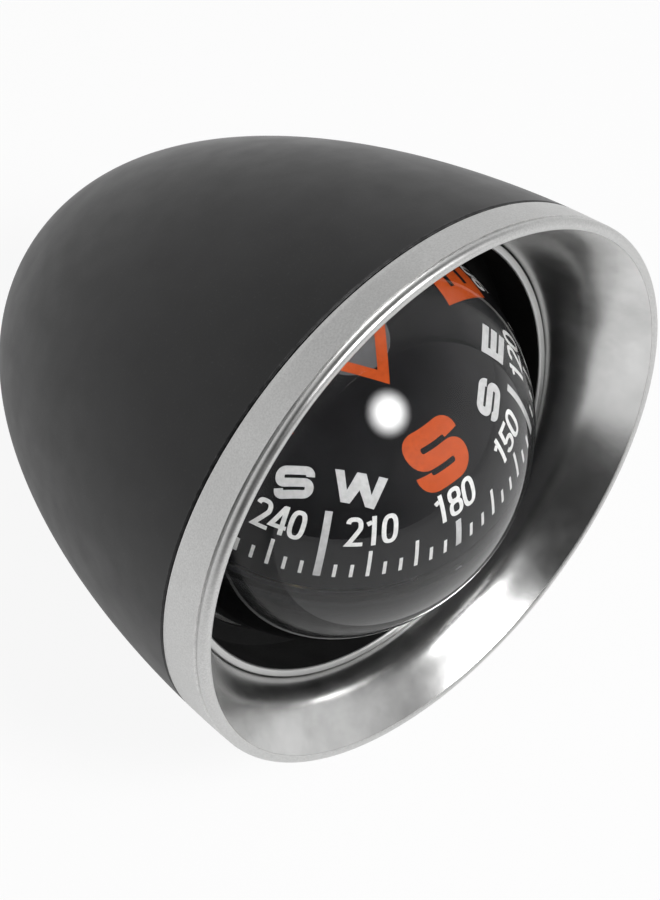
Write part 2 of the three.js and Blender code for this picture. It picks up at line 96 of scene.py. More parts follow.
def hood_outline(inset, front, steps):
    """Points from the nose to a front station, closest together at the nose."""
    nose = MOUTH_STATION - HOOD_LENGTH + inset
    share = 1 - np.cos(np.linspace(0, math.pi / 2, steps + 1))
    stations = nose + (front - nose) * share
    radii = hood_radius(stations, inset)
    radii[0] = 0
    return list(zip(radii, stations))


def arc(radius, start, end, steps):
    """Points on a circle about the centre, by angle from the axis in degrees."""
    angles = np.radians(np.linspace(start, end, steps + 1))
    return [(max(radius * math.sin(a), 0.0), radius * math.cos(a)) for a in angles]


def angle_at(radius, station):
    return math.degrees(math.acos(station / radius))


def rounded(points, radius, steps=4):
    """The closed outline with each corner off the axis turned into a small curve."""
    result = []
    count = len(points)
    for i, point in enumerate(points):
        here = Vector(point)
        if here.x < ON_AXIS:
            result.append(point)
            continue
        before = Vector(points[i - 1]) - here
        after = Vector(points[(i + 1) % count]) - here
        reach = min(radius, before.length * 0.45, after.length * 0.45)
        first = here + before.normalized() * reach
        last = here + after.normalized() * reach
        for k in range(steps + 1):
            t = k / steps
            result.append(tuple(first * (1 - t) ** 2 + here * (2 * t * (1 - t)) + last * t ** 2))
    return result


def eased(station, start, end):
    """0 before the start, 1 after the end, and smooth between."""
    share = np.clip((station - start) / (end - start), 0, 1)
    return share * share * (3 - 2 * share)


def shell_rake(station):
    """Slide forward per metre of height: none at the back, most at the seam, less at the lip."""
    rising = SEAM_RAKE * eased(station, RAKE_START, SEAM_STATION)
    falling = (SEAM_RAKE - MOUTH_RAKE) * eased(station, SEAM_STATION, MOUTH_STATION)
    return rising - falling


def reflector_rake(station):
    return MOUTH_RAKE * eased(station, RING_STATION + 0.4 * MM, MOUTH_STATION)


def lean(points, rake):
    """Slides points forward at the top, keeping them on the bullet's surface."""
    station = points[:, 2]
    slide = rake(station) * points[:, 1]
    leaned = station + slide
    scale = np.where(slide != 0, hood_radius(leaned) / np.maximum(hood_radius(station), MM), 1)
    points[:, 0] *= scale
    points[:, 1] *= scale
    points[:, 2] = leaned
    return points


# ---- Meshes ----
def tidy_mesh(mesh, matrix, sharp):
    """Closes seams, faces every normal outwards, and stores each point's local coordinates."""
    work = bmesh.new()
    work.from_mesh(mesh)
    bmesh.ops.remove_doubles(work, verts=work.verts, dist=1e-7)
    bmesh.ops.recalc_face_normals(work, faces=work.faces)
    work.to_mesh(mesh)
    work.free()
    points = np.zeros(len(mesh.vertices) * 3)
    mesh.vertices.foreach_get("co", points)
    inverse = np.array(matrix.inverted())
    local = points.reshape(-1, 3) @ inverse[:3, :3].T + inverse[:3, 3]
    attribute = (mesh.attributes.get("local")
                 or mesh.attributes.new("local", "FLOAT_VECTOR", "POINT"))
    attribute.data.foreach_set("vector", local.astype(np.float32).ravel())
    mesh.shade_smooth()
    mesh.set_sharp_from_angle(angle=math.radians(sharp))


def finish_mesh(name, local, faces, matrix, sharp=35):
    """An object built in the CAD frame from points in a local frame."""
    world = np.array(matrix)
    points = np.asarray(local) @ world[:3, :3].T + world[:3, 3]
    mesh = bpy.data.meshes.new(name)
    mesh.from_pydata(points.tolist(), [], faces)
    tidy_mesh(mesh, matrix, sharp)
    piece = bpy.data.objects.new(name, mesh)
    bpy.context.scene.collection.objects.link(piece)
    return piece


def faces_round(radii, segments, closed):
    """Faces joining copies of an outline set round an axis, their points copy after copy."""
    count = len(radii)
    faces = []
    for i in range(segments):
        j = (i + 1) % segments
        for k in range(count if closed else count - 1):
            m = (k + 1) % count
            corners = [i * count + k, j * count + k, j * count + m, i * count + m]
            if radii[k] < ON_AXIS:
                corners.pop(1)
            elif radii[m] < ON_AXIS:
                corners.pop(2)
            faces.append(corners)
    return faces


def turned(name, outline, matrix=HOUSING, segments=192, rake=None, sharp=35):
    """A turned piece. An outline that starts on the axis ends on it, and a ring's closes."""
    radii, heights = np.array(outline).T
    angles = np.linspace(0, 2 * math.pi, segments, endpoint=False)
    local = np.zeros((segments, len(radii), 3))
    local[:, :, 0] = np.cos(angles)[:, None] * radii
    local[:, :, 1] = np.sin(angles)[:, None] * radii
    local[:, :, 2] = heights
    local = local.reshape(-1, 3)
    if rake:
        local = lean(local, rake)
    faces = faces_round(radii, segments, radii[0] > ON_AXIS)
    return finish_mesh(name, local, faces, matrix, sharp)


def washer(inner, outer, low, high):
    return [(inner, low), (outer, low), (outer, high), (inner, high)]


def bar(radius, low, high):
    return [(0, low), (radius, low), (radius, high), (0, high)]


def carve(piece, *tools, matrix=HOUSING):
    """Cuts the tools out of a piece and deletes them."""
    for tool in tools:
        cut = piece.modifiers.new("cut", "BOOLEAN")
        cut.operation = "DIFFERENCE"
        cut.solver = "EXACT"
        cut.object = tool
    graph = bpy.context.evaluated_depsgraph_get()
    mesh = bpy.data.meshes.new_from_object(piece.evaluated_get(graph), depsgraph=graph)
    piece.modifiers.clear()
    piece.data = mesh
    for tool in tools:
        bpy.data.objects.remove(tool)
    tidy_mesh(mesh, matrix, 35)


def show(piece, body, finish, slot, *nodes):
    """Gives a piece its material, its body and the CAD nodes it stands for. The slot argument is
    not used.
    """
    piece.data.materials.clear()
    piece.data.materials.append(finish)
    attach(piece, body)
    if nodes:
        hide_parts(*nodes)


# ---- Shader nodes ----
class Nodes:
    """Adds and links nodes in a shader tree."""

    def __init__(self, tree):
        self.tree = tree

    def feed(self, socket, value):
        if isinstance(value, bpy.types.NodeSocket):
            self.tree.links.new(value, socket)
        else:
            socket.default_value = value

    def add(self, kind, inputs=None, **settings):
        node = self.tree.nodes.new(kind)
        for key, value in settings.items():
            setattr(node, key, value)
        for key, value in (inputs or {}).items():
            self.feed(node.inputs[key], value)
        return node

    def math(self, operation, first, second=0.0):
        return self.add("ShaderNodeMath", {0: first, 1: second}, operation=operation).outputs[0]

    def spread(self, value, low, high, out_low, out_high, interpolation="LINEAR"):
        """Maps low..high onto out_low..out_high, clamped."""
        inputs = {"Value": value, "From Min": low, "From Max": high, "To Min": out_low,
                  "To Max": out_high}
        node = self.add("ShaderNodeMapRange", inputs, interpolation_type=interpolation)
        return node.outputs["Result"]

    def mix_shaders(self, share, first, second, output):
        """Sends a mix of two shaders to an output node: all first at 0, all second at 1."""
        mix = self.add("ShaderNodeMixShader", {0: share, 1: first, 2: second})
        self.feed(self.tree.nodes[output].inputs["Surface"], mix.outputs[0])


class Finish(Nodes):
    """A procedural material: one Principled shader and the nodes that feed it."""

    def __init__(self, name, local=True):
        self.material = bpy.data.materials.new(name)
        self.material.use_nodes = True
        super().__init__(self.material.node_tree)
        self.shader = self.tree.nodes["Principled BSDF"]
        if local:
            self.place = self.add("ShaderNodeAttribute", attribute_name="local").outputs["Vector"]
        else:
            self.place = self.add("ShaderNodeTexCoord").outputs["Object"]

    def noise(self, size, detail=2.0, roughness=0.5, place=None):
        """Noise whose features are about size metres across."""
        inputs = {"Vector": place or self.place, "Scale": 1 / size, "Detail": detail,
                  "Roughness": roughness}
        return self.add("ShaderNodeTexNoise", inputs).outputs["Fac"]

    def between(self, noise, low, high):
        """Maps the usual range of a noise onto low..high."""
        return self.spread(noise, 0.3, 0.7, low, high)

    def blend(self, factor, first, second):
        """Colour from first to second as factor goes from 0 to 1."""
        colours = [value if isinstance(value, bpy.types.NodeSocket) else (*value, 1)
                   for value in (first, second)]
        node = self.add("ShaderNodeMix", {0: factor, 6: colours[0], 7: colours[1]},
                        data_type="RGBA")
        return node.outputs[2]

    def lathe_marks(self, size, roughness):
        """Noise that runs in circles round the local axis, as a turning tool leaves it."""
        x, y, z = self.add("ShaderNodeSeparateXYZ", {0: self.place}).outputs
        square = self.math("ADD", self.math("MULTIPLY", x, x), self.math("MULTIPLY", y, y))
        radius = self.math("SQRT", square)
        place = self.add("ShaderNodeCombineXYZ", {"X": radius, "Y": z}).outputs[0]
        return self.noise(size, 2, roughness, place)

    def wear(self, radius, low=0.02, high=0.14):
        """1 on convex edges within a radius, broken up by noise, and 0 elsewhere."""
        bevel = self.add("ShaderNodeBevel", {"Radius": radius}, samples=4)
        normal = self.add("ShaderNodeNewGeometry").outputs["Normal"]
        dot = self.add("ShaderNodeVectorMath", {0: bevel.outputs[0], 1: normal},
                       operation="DOT_PRODUCT").outputs["Value"]
        edge = self.spread(dot, 1 - low, 1 - high, 0.0, 1.0)
        return self.math("MULTIPLY", edge, self.spread(self.noise(1.3 * MM, 3), 0.35, 0.6, 0, 1))

    def bump(self, height, strength, distance, under=None):
        inputs = {"Height": height, "Strength": strength, "Distance": distance}
        if under is not None:
            inputs["Normal"] = under
        return self.add("ShaderNodeBump", inputs).outputs["Normal"]

    def set(self, **inputs):
        """Feeds the shader; underscores in names stand for spaces."""
        for key, value in inputs.items():
            self.feed(self.shader.inputs[key.replace("_", " ")],
                      (*value, 1) if isinstance(value, tuple) else value)


def grey(value, blue=0.0):
    """A neutral colour, or one whose blue differs a little."""
    return (value, value, value + blue)


def hood_paint():
    """Satin charcoal powder coat: faint orange peel, slight blotches, rubbed edges."""
    coat = Finish("satin_charcoal_paint")
    blotch = coat.between(coat.noise(18 * MM, 3), 0, 1)
    grain = coat.noise(0.35 * MM, 2)
    base = coat.blend(blotch, grey(0.006, 0.0005), grey(0.0085, 0.0005))
    speck = coat.blend(coat.spread(grain, 0.62, 0.75, 0, 0.5), base, grey(0.035, 0.001))
    worn = coat.blend(coat.wear(0.4 * MM), speck, grey(0.11, 0.002))
    peel = coat.bump(coat.noise(1.1 * MM, 2), 0.10, 0.05 * MM)
    fine = coat.bump(grain, 0.18, 0.02 * MM, peel)
    rough = coat.between(coat.noise(6 * MM, 4), 0.40, 0.47)
    coat.set(Base_Color=worn, Roughness=rough, Normal=fine, Specular_IOR_Level=0.42,
             Sheen_Weight=0.1, Sheen_Roughness=0.35)
    return coat.material


def satin_metal():
    """Bead-blasted aluminium: fine pits, cloudy tone, brighter where edges are rubbed."""
    metal = Finish("satin_aluminium")
    grain = metal.noise(0.32 * MM, 3, 0.65)
    cloud = metal.noise(7 * MM, 3)
    pits = metal.spread(grain, 0.35, 0.65, 0, 1)
    tone = metal.blend(pits, grey(0.5504, -0.0064), grey(0.6912, -0.0064))
    soft = metal.blend(metal.between(cloud, 0, 0.35), tone, grey(0.64, -0.0096))
    worn = metal.blend(metal.wear(0.35 * MM), soft, grey(0.85, -0.01))
    metal.set(Base_Color=worn, Roughness=metal.between(cloud, 0.32, 0.41),
              Normal=metal.bump(grain, 0.30, 0.03 * MM), Metallic=1.0)
    return metal.material


def polished_metal():
    """Spun and buffed aluminium: fine rings from the lathe and a soft cloudy haze."""
    metal = Finish("spun_polished_aluminium")
    haze = metal.noise(9 * MM, 4, 0.6)
    tone = metal.blend(metal.between(haze, 0, 1), grey(0.58, -0.005), grey(0.73, -0.005))
    spun = metal.bump(metal.lathe_marks(0.6 * MM, 0.5), 0.06, 0.02 * MM)
    metal.set(Base_Color=tone, Roughness=metal.between(haze, 0.21, 0.265),
              Normal=metal.bump(metal.noise(0.5 * MM, 2), 0.16, 0.02 * MM, spun), Metallic=1.0)
    return metal.material


def machined_metal():
    """Turned ring: crisp concentric tool marks."""
    metal = Finish("turned_aluminium")
    marks = metal.lathe_marks(0.18 * MM, 0.6)
    cloud = metal.noise(5 * MM, 3)
    tone = metal.blend(metal.between(marks, 0, 1), grey(0.54, -0.005), grey(0.62, -0.005))
    worn = metal.blend(metal.wear(0.25 * MM), tone, grey(0.85, -0.01))
    metal.set(Base_Color=worn, Roughness=metal.between(cloud, 0.33, 0.42),
              Normal=metal.bump(marks, 0.12, 0.02 * MM), Metallic=1.0)
    return metal.material


def plastic(name, dark, light, rough, local=True, grain=0.4, wear=0.25, gloss=0.5, relief=0.15):
    """Moulded plastic or enamel with a fine texture and slight tone changes. Sizes in mm."""
    skin = Finish(name, local)
    fine = skin.noise(grain * MM, 3)
    tone = skin.blend(skin.between(skin.noise(6 * MM, 3), 0, 1), dark, light)
    edge = tuple(min(value * 1.6 + 0.01, 1) for value in light)
    worn = skin.blend(skin.wear(wear * MM), tone, edge)
    skin.set(Base_Color=worn, Roughness=skin.between(fine, rough - 0.05, rough + 0.06),
             Normal=skin.bump(fine, relief, 0.02 * MM), Specular_IOR_Level=gloss)
    return skin.material


def metal_part(name, dark, light, rough):
    """Small turned or stamped hardware: fine scratches and rubbed edges."""
    metal = Finish(name, local=False)
    stretch = {"Vector": metal.place, "Scale": (1, 1, 9)}
    scratch = metal.noise(0.5 * MM, 4, 0.7, metal.add("ShaderNodeMapping", stretch).outputs[0])
    tone = metal.blend(metal.between(scratch, 0, 1), dark, light)
    worn = metal.blend(metal.wear(0.2 * MM), tone, tuple(min(v * 1.25, 1) for v in light))
    metal.set(Base_Color=worn, Normal=metal.bump(scratch, 0.15, 0.02 * MM), Metallic=1.0,
              Roughness=metal.between(scratch, rough - 0.06, rough + 0.08))
    return metal.material


def ink(name, colour):
    """Screen-printed ink: even, with a faint mottle."""
    paint = Finish(name)
    mottle = paint.noise(0.8 * MM, 3)
    tone = paint.blend(paint.between(mottle, 0, 1), tuple(v * 0.88 for v in colour),
                       tuple(min(v * 1.06, 1) for v in colour))
    paint.set(Base_Color=tone, Roughness=paint.between(mottle, 0.44, 0.56),
              Normal=paint.bump(mottle, 0.1, 0.02 * MM), Specular_IOR_Level=0.08)
    return paint.material


def clear_liquid():
    """Clear moulded plastic backed by liquid. Light reaches the card straight through it."""
    clear = Finish("clear_plastic_and_liquid")
    haze = clear.noise(20 * MM, 3)
    clear.set(Base_Color=(1.0, 1.0, 1.0), Roughness=clear.between(haze, 0.0, 0.02),
              IOR=1.45, Transmission_Weight=1.0)
    is_shadow = clear.add("ShaderNodeLightPath").outputs["Is Shadow Ray"]
    through = clear.add("ShaderNodeBsdfTransparent", {"Color": (0.97, 0.98, 0.98, 1)}).outputs[0]
    clear.mix_shaders(is_shadow, clear.shader.outputs[0], through, "Material Output")
    return clear.material


PAINT = hood_paint()
SATIN = satin_metal()
POLISHED = polished_metal()
MACHINED = machined_metal()
MOULDING = (grey(0.010, 0.001), grey(0.016, 0.001), 0.42)
RUBBERY = (grey(0.012), grey(0.022, -0.001), 0.75)
BLACK = plastic("black_moulding", *MOULDING)
BLACK_CAD = plastic("black_moulding_inside", *MOULDING, local=False)
RUBBER = plastic("black_rubber", *RUBBERY)
RUBBER_CAD = plastic("black_rubber_inside", *RUBBERY, local=False)
CARD = plastic("card_black", grey(0.0065, 0.0005), grey(0.0095, 0.001), 0.6, grain=1.2,
               gloss=0.06, relief=0.03)
MATTE = plastic("matte_black", grey(0.006), grey(0.009), 0.8, gloss=0.08)
SUNK = plastic("black_under_liquid", grey(0.005, 0.0005), grey(0.008, 0.0005), 0.6, grain=1.2,
               wear=0.1, gloss=0.06, relief=0.03)
HUB = plastic("hub_grey", grey(0.07, 0.003), grey(0.10, 0.004), 0.5, gloss=0.1)
FOAM = plastic("float_foam", (0.62, 0.58, 0.47), (0.72, 0.68, 0.57), 0.85, local=False, grain=0.9)
STEEL = metal_part("steel_hardware", grey(0.42, 0.01), grey(0.56, 0.01), 0.32)
BRASS = metal_part("brass_hardware", (0.52, 0.36, 0.14), (0.68, 0.49, 0.21), 0.30)
WHITE_INK = ink("white_ink", grey(0.72, -0.01))
GREY_INK = ink("soft_white_ink", grey(0.50))
ORANGE_INK = ink("orange_ink", (0.40, 0.062, 0.011))
JEWEL = plastic("red_jewel", (0.22, 0.01, 0.03), (0.32, 0.02, 0.05), 0.12, local=False)
LAMP = plastic("red_lamp", (0.42, 0.03, 0.02), (0.55, 0.05, 0.03), 0.18)
CLEAR = clear_liquid()


# ---- Hood ----
CABLE_DROP = 8 * MM  # of the cable's exit, below the axis


def middle_of(node):
    low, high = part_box(node)
    return (low + high) / 2


def drill(radius, start, direction, length):
    """A round cutter from a world point along a direction."""
    turn = direction.to_track_quat("Z", "Y").to_matrix().to_4x4()
    return turned("cutter", bar(radius, 0, length), Matrix.Translation(start) @ turn, 40)


def build_hood():
    """The bullet, open at the seam, with a hole in each side and at the back for a screwdriver."""
    wall = 2.4 * MM
    rounding = SEAM_STATION - 0.35 * MM
    front_edge = [(hood_radius(SEAM_STATION) - 0.25 * MM, SEAM_STATION),
                  (MOUTH - 1.4 * MM, SEAM_STATION - 0.1 * MM)]
    outside = hood_outline(0, rounding, 110)
    inside = hood_outline(wall, rounding, 60)[::-1]
    hood = turned("hood_shell", outside + front_edge + inside, segments=256, rake=shell_rake)
    rod_hole = 3 * MM
    rod = middle_of("cross_rod")
    cutters = [drill(rod_hole, rod + Vector((side * 14 * MM, 0, 0)), Vector((side, 0, 0)), 60 * MM)
               for side in (-1, 1)]
    behind_rod = middle_of("long_rod") + Vector((0, 12 * MM, 0))
    cutters.append(drill(rod_hole, behind_rod, Vector((0, 1, 0)), 70 * MM))
    cable_exit = HOUSING @ Vector((0, -CABLE_DROP, -60 * MM))
    cutters.append(drill(2.6 * MM, cable_exit, -AXIS, 30 * MM))
    carve(hood, *cutters)
    show(hood, "housing", PAINT, "hood_paint", "hood")


# ---- Mouth ----
LIP_MIDDLE = (MOUTH + LIP) / 2
LIP_HALF = (MOUTH - LIP) / 2
LIP_TURN = math.radians(130)  # where the lip hands over to the reflector


def lip_point(angle):
    """A point on the lip's round edge, from outside (0) over the crest to inside (180)."""
    return (LIP_MIDDLE + LIP_HALF * math.cos(angle),
            MOUTH_STATION - LIP_HALF * (1 - math.sin(angle)))


def build_trim():
    """Band, a fine groove, then a rounded lip that rolls into the mouth."""
    rear = SEAM_STATION + 0.35 * MM
    band_end = MOUTH_STATION - 2.4 * MM
    rear_radius = hood_radius(rear)
    edge = [(rear_radius - 0.25 * MM, rear), (rear_radius - 0.07 * MM, rear + 0.07 * MM)]
    band = [(hood_radius(s), s) for s in np.linspace(rear + 0.25 * MM, band_end, 9)]
    groove_floor = MOUTH - 0.28 * MM
    groove = [(groove_floor, band_end + 0.16 * MM), (groove_floor, band_end + 0.3 * MM)]
    lip = [lip_point(a) for a in np.linspace(-0.5, LIP_TURN, 20)]
    inner = LIP + 0.9 * MM
    inside = [(lip[-1][0] + 0.15 * MM, MOUTH_STATION - 1.2 * MM), (inner, MOUTH_STATION - 2.4 * MM),
              (inner, rear)]
    trim = turned("silver_trim_ring", edge + band + groove + lip + inside, segments=256,
                  rake=shell_rake, sharp=24)
    show(trim, "housing", SATIN, "satin_metal", "trim_ring")
    outer = rear_radius - 0.7 * MM
    gap = 0.03 * MM
    section = washer(outer - 0.9 * MM, outer, SEAM_STATION + gap, rear - gap)
    seal = turned("trim_seal_ring", section, segments=256, rake=shell_rake)
    show(seal, "housing", RUBBER, "rubber", "trim_seal")


def build_reflector():
    """A trumpet: steep beside the inner ring, flaring out until it meets the lip."""
    sheet = 0.7 * MM
    start = RING_STATION - 0.6 * MM
    inner = RING_OUTER + 0.12 * MM
    outer, end = lip_point(LIP_TURN)
    outer -= 0.04 * MM
    end -= 0.03 * MM
    share = np.linspace(0, 1, 60)
    radii = inner + (outer - inner) * (0.3 * share + 0.7 * share ** 2.3)
    stations = start + (end - start) * share
    slope = np.arctan2(np.gradient(radii), np.gradient(stations))
    front = list(zip(radii, stations))
    back = list(zip(radii + sheet * np.cos(slope), stations - sheet * np.sin(slope)))[::-1]
    reflector = turned("flared_reflector", front + back, segments=256, rake=reflector_rake)
    carve(reflector, drill(2.6 * MM, middle_of("lamp"), AXIS, 9 * MM))
    show(reflector, "housing", POLISHED, "polished_metal", "reflector")


def build_inner_ring():
    """A narrow bright edge round a tube whose bore and inner shelf are blacked."""
    base = 3.3 * MM
    shelf_top = base + 1.2 * MM
    shelf = BALL + 0.6 * MM
    seat_top = base + 2 * MM
    tube = RING_INNER + 1.2 * MM
    top = RING_STATION
    outline = [
        (RING_INNER, shelf_top), (shelf, shelf_top), (shelf, base), (FLANGE, base),
        (FLANGE, seat_top), (tube, seat_top), (tube, top - 3.6 * MM), (RING_OUTER, top - 2.8 * MM),
        (RING_OUTER, top - 0.3 * MM), (RING_OUTER - 0.25 * MM, top), (RING_INNER + 0.3 * MM, top),
        (RING_INNER, top - 0.35 * MM),
    ]
    ring = turned("bright_inner_ring", rounded(outline, 0.15 * MM, 3), segments=256, sharp=50)
    show(ring, "housing", MACHINED, "satin_metal", "inner_ring")
    ring.data.materials.append(MATTE)
    to_local = HOUSING.inverted()
    for face in ring.data.polygons:
        place = to_local @ face.center
        radius = math.hypot(place.x, place.y)
        if radius < RING_INNER + 0.1 * MM and place.z < top - 0.6 * MM:
            face.material_index = 1


# ---- Capsule ----
def build_ball():
    """The clear front dome with the liquid behind it, as one closed body of glass."""
    flange_top = 3 * MM
    behind = BALL - 1.0 * MM  # within the bowl's wall
    outline = arc(BALL, 0, angle_at(BALL, flange_top), 90)
    outline += [(FLANGE, flange_top), (FLANGE, 0.0), (BALL + 0.2 * MM, 0.0)]
    outline += arc(behind, 92.5, 180, 70)
    show(turned("clear_ball", outline, segments=256), "housing", CLEAR, "clear_plastic",
         "clear_dome")


def build_bowl():
    """The black rear half of the ball, open at the back round a raised seat."""
    inner = BALL - 2 * MM
    flange_top = -1.6 * MM
    flange_base = -4.6 * MM
    seat = -40.3 * MM
    outline = arc(inner, angle_at(inner, flange_top), 180 - 21.6, 60)
    outline += [(14 * MM, seat), (22.5 * MM, seat)]
    outline += arc(BALL, 180 - 34.3, angle_at(BALL, flange_base), 50)
    outline += [(FLANGE, flange_base), (FLANGE, flange_top)]
    show(turned("capsule_bowl", outline), "housing", BLACK, "black_plastic", "bowl")


# ---- Gimbal, cradle and card ----
def build_gimbal():
    half = 1.6 * MM
    section = rounded(washer(34.3 * MM, 35.9 * MM, -half, half), 0.4 * MM, 3)
    show(turned("gimbal_hoop", section, LEVEL), "gimbal", SUNK, "black_plastic", "gimbal_ring")
    low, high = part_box("lubber_pin")
    reach = (high.z - low.z) / 2
    post = rounded(bar(0.6 * MM, -reach, reach), 0.3 * MM, 3)
    show(turned("lubber_post", post, Matrix.Translation((low + high) / 2), 32), "gimbal",
         WHITE_INK, "marking_white", "lubber_pin")


def build_cradle():
    """The dark smooth bowl under the card, open above its rim."""
    radius = 33.2 * MM
    rim = 1.8 * MM
    inner = radius - 1.4 * MM
    outline = arc(radius, angle_at(radius, rim), 175, 60)
    outline += arc(inner, 174.8, angle_at(inner, rim), 60)
    show(turned("cradle_bowl", outline, LEVEL, sharp=50), "cradle", SUNK, "black_plastic",
         "cradle")


def card_outline(radius, height, hem, steps):
    """A card's section from its crown to its hem: flat on top, nearly upright at the rim."""
    last = math.acos((hem / height) ** 1.5)
    angles = np.linspace(0, last, steps + 1)
    return [(radius * max(math.sin(a), 0) ** (2 / 3), height * math.cos(a) ** (2 / 3))
            for a in angles]


def height_at(outline, radius):
    radii, heights = np.array(outline).T
    return float(np.interp(radius, radii, heights))


def beyond(outline, radius):
    """The part of a card outline farther from the axis than a radius."""
    return [(radius, height_at(outline, radius))] + [p for p in outline if p[0] > radius]


def within(outline, radius):
    return [p for p in outline if p[0] < radius] + [(radius, height_at(outline, radius))]


HUB_RADIUS = half_width("hub_cap")
# Points down the card's section, and the arc length from its crown to each.
CARD_RADII, CARD_HEIGHTS = np.array(card_outline(CARD_RADIUS, CARD_HEIGHT, 0.4 * MM, 4000)).T
CARD_ARC = np.append(0, np.cumsum(np.hypot(np.diff(CARD_RADII), np.diff(CARD_HEIGHTS))))


def build_card():
    skin = 1.2 * MM
    hem = 2.6 * MM
    outer = card_outline(CARD_RADIUS, CARD_HEIGHT, hem, 160)
    inner = card_outline(CARD_RADIUS - skin, CARD_HEIGHT - skin, hem, 60)
    split = HUB_RADIUS + 0.05 * MM
    ring = beyond(outer, split) + beyond(inner, split)[::-1]
    show(turned("domed_card", ring, LEVEL, 256), "card", CARD, "card_black", "card")
    cap = within(outer, HUB_RADIUS) + within(inner, HUB_RADIUS)[::-1]
    show(turned("grey_hub_cap", cap, LEVEL), "card", HUB, "hub_grey", "hub_cap")


# ---- Dial markings ----
# A mark is drawn flat, x to the reader's right and y towards the crown, then bent onto the card.
def at_arc(length):
    """(radius, height) of the card at an arc length from its crown."""
    return np.interp(length, CARD_ARC, CARD_RADII), np.interp(length, CARD_ARC, CARD_HEIGHTS)


def arc_at(radius):
    """Arc length from the card's crown at a radius."""
    return np.interp(radius, CARD_RADII, CARD_ARC)


def on_card(length, angle, lift):
    """Points on the card by arc length from its crown and by angle clockwise from north."""
    radius, height = at_arc(length)
    ahead_radius, ahead_height = at_arc(length + 0.05 * MM)
    slope = np.arctan2(ahead_height - height, ahead_radius - radius)
    radius = radius - np.sin(slope) * lift
    height = height + np.cos(slope) * lift
    return np.stack([radius * np.sin(angle), radius * np.cos(angle), height], 1)


def at_bearing(bearing, middle):
    """Bends a mark round the card at a bearing, its middle an arc length from the crown."""
    def bend(flat, lift):
        length = middle - flat[:, 1]
        return on_card(length, math.radians(bearing) - flat[:, 0] / at_arc(length)[0], lift)
    return bend


def straight_at(bearing, middle):
    """Bends a mark onto the card so that its upright strokes stay parallel to the bearing."""
    def bend(flat, lift):
        along = at_arc(middle - flat[:, 1])[0]
        length = arc_at(np.hypot(flat[:, 0], along))
        return on_card(length, math.radians(bearing) - np.arctan2(flat[:, 0], along), lift)
    return bend


def seen_from_above(flat, lift):
    """Drops a mark straight down onto the card, y towards north."""
    length = arc_at(np.hypot(flat[:, 0], flat[:, 1]))
    return on_card(length, np.arctan2(flat[:, 0], flat[:, 1]), lift)


def cells(work, step):
    """Cuts a flat bmesh into small cells so that it can bend."""
    for axis in (Vector((1, 0, 0)), Vector((0, 1, 0))):
        places = [v.co.dot(axis) for v in work.verts]
        low, high = min(places), max(places)
        count = int((high - low) / step)
        for i in range(1, count + 1):
            everything = work.verts[:] + work.edges[:] + work.faces[:]
            bmesh.ops.bisect_plane(work, geom=everything, dist=1e-8, plane_no=axis,
                                   plane_co=axis * (low + (high - low) * i / (count + 1)))


def drawn(patches, step=0.8 * MM):
    """(points, faces) of flat patches, each a list of corners, cut into cells."""
    work = bmesh.new()
    for patch in patches:
        work.faces.new([work.verts.new((x, y, 0)) for x, y in patch])
    bmesh.ops.remove_doubles(work, verts=work.verts, dist=1e-8)
    bmesh.ops.triangulate(work, faces=work.faces, ngon_method="EAR_CLIP")
    cells(work, step)
    points = np.array([v.co[:2] for v in work.verts])
    work.verts.index_update()
    faces = [[v.index for v in face.verts] for face in work.faces]
    work.free()
    return points, faces


def thick(points, faces, bend, low, high):
    """A closed sheet bent onto the card: its top, its underside and the edge between them."""
    count = len(points)
    solid = np.concatenate([bend(points, high), bend(points, low)])
    edges = {edge for face in faces for edge in zip(face, face[1:] + face[:1])}
    sides = [[b, a, a + count, b + count] for a, b in sorted(edges) if (b, a) not in edges]
    under = [[i + count for i in face[::-1]] for face in faces]
    return solid, faces + under + sides


def printed(name, marks, finish, slot):
    """One piece holding many marks, each ((points, faces), how it bends, any extra height)."""
    lift = 0.015 * MM
    depth = 0.05 * MM
    points, faces, count = [], [], 0
    for (flat, flat_faces), bend, *layer in marks:
        top = lift + depth + sum(layer)
        solid, closed = thick(flat, flat_faces, bend, lift - sum(layer) / 3, top)
        points.append(solid)
        faces += [[i + count for i in face] for face in closed]
        count += len(solid)
    piece = finish_mesh(name, np.concatenate(points), faces, LEVEL, 60)
    show(piece, "card", finish, slot)


def bend_corners(corners, radius, steps=6):
    """An open path through corners, each rounded off by an arc-like curve."""
    path = [Vector(corners[0])]
    last = len(corners) - 2
    for i in range(1, last + 1):
        here = Vector(corners[i])
        before = Vector(corners[i - 1]) - here
        after = Vector(corners[i + 1]) - here
        reach = min(radius, before.length * (1 if i == 1 else 0.5),
                    after.length * (1 if i == last else 0.5))
        before.normalize()
        after.normalize()
        middle = here + (before + after) * reach
        for k in range(steps + 1):
            turn = math.pi / 2 * k / steps
            path.append(middle - after * reach * math.cos(turn) - before * reach * math.sin(turn))
    return path + [Vector(corners[-1])]


def ribbon(path, width, closed=False):
    """Patches of a stroke of even width along a path, mitred where it turns sharply."""
    path = [p for i, p in enumerate(path) if i == 0 or (p - path[i - 1]).length > 1e-6]
    if closed and (path[0] - path[-1]).length < 1e-6:
        path.pop()
    count = len(path)
    sides = []
    for i, point in enumerate(path):
        ahead = path[(i + 1) % count] - point if closed or i < count - 1 else point - path[i - 1]
        behind = point - path[i - 1] if closed or i > 0 else ahead
        forward = (ahead.normalized() + behind.normalized()).normalized()
        reach = width / 2 / max(forward.dot(ahead.normalized()), 0.4)
        across = Vector((-forward.y, forward.x)) * reach
        sides.append((point - across, point + across))
    if closed:
        sides.append(sides[0])
    return [[a[0], b[0], b[1], a[1]] for a, b in zip(sides, sides[1:])]


